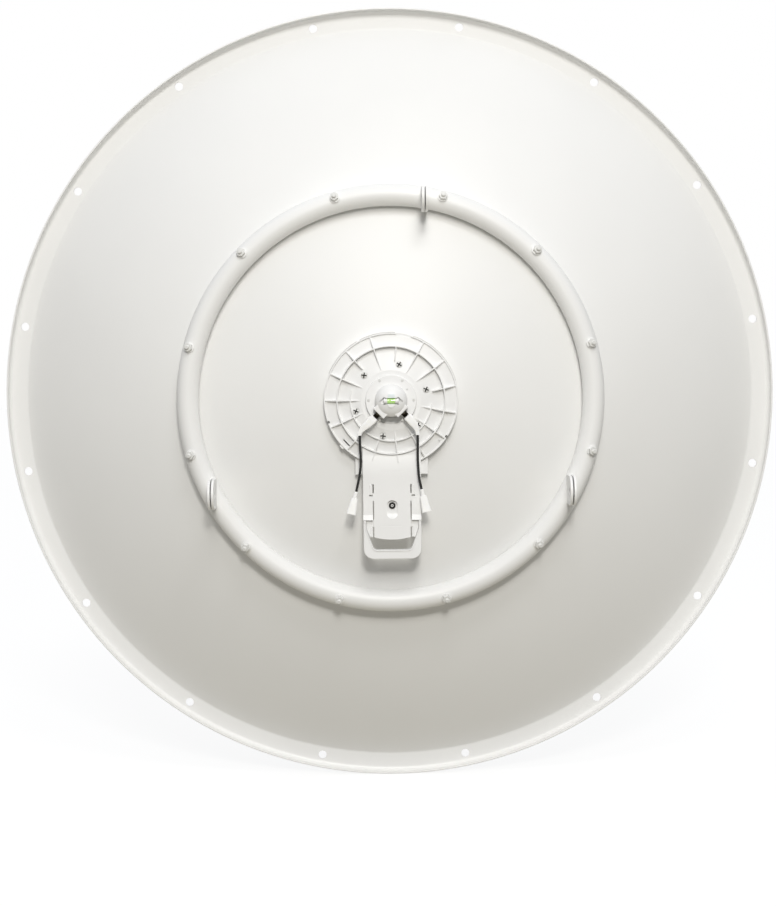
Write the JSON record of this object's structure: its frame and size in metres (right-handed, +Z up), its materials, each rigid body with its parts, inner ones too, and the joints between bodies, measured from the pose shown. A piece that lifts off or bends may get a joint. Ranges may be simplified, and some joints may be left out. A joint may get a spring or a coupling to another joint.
{
  "type": "microwave dish antenna",
  "caption": "Round parabolic dish antenna with a rolled rim, a bolted tube ring and forked lugs on its back, a ribbed hub with a radio tray and jumper leads, and a feed with a sub-reflector.",
  "frame": {"origin": "on the flat outer face of the top lug, beside its bolt hole, where a pole bracket is fastened", "axes": "+Y along the beam, out of the dish's hollow side; +Z up; +X to the right of a viewer who stands behind the dish"},
  "size_m": [1.05, 0.3752, 1.05],
  "materials": {
    "white_paint": "satin powder coat",
    "white_plastic": "fine moulded grain",
    "boot_white": "soft, slightly milky",
    "zinc": "zinc plated",
    "gold": "plated thread",
    "vial_green": "clear, filled with green liquid",
    "black_jacket": "smooth jacket"
  },
  "bodies": {
    "root": {"reflector": "white_paint", "reflector_rim": "white_paint", "back_ring": "white_paint", "ring_lug_top": "white_paint", "ring_lug_left": "white_paint", "ring_lug_right": "white_paint", "ring_bolt_01": "zinc", "ring_bolt_02": "zinc", "ring_bolt_03": "zinc", "ring_bolt_04": "zinc", "ring_bolt_05": "zinc", "ring_bolt_06": "zinc", "ring_bolt_07": "zinc", "ring_bolt_08": "zinc", "ring_bolt_09": "zinc", "ring_bolt_10": "zinc", "ring_bolt_11": "zinc", "ring_bolt_12": "zinc", "hub_plate": "white_plastic", "feed_flange": "white_plastic", "feed_dome": "white_plastic", "level_vial": "vial_green", "connector_left": "gold", "connector_right": "gold", "connector_boot_left": "boot_white", "connector_boot_right": "boot_white", "jumper_left": "black_jacket", "jumper_right": "black_jacket", "jumper_boot_left": "boot_white", "jumper_boot_right": "boot_white", "tray_bracket": "white_plastic", "radio_tray": "white_plastic", "tray_handle": "white_plastic", "tray_screw": "zinc", "front_collar": "white_plastic", "feed_tube": "white_plastic", "feed_cone": "white_plastic", "sub_reflector": "white_paint"}
  },
  "joints": []
}
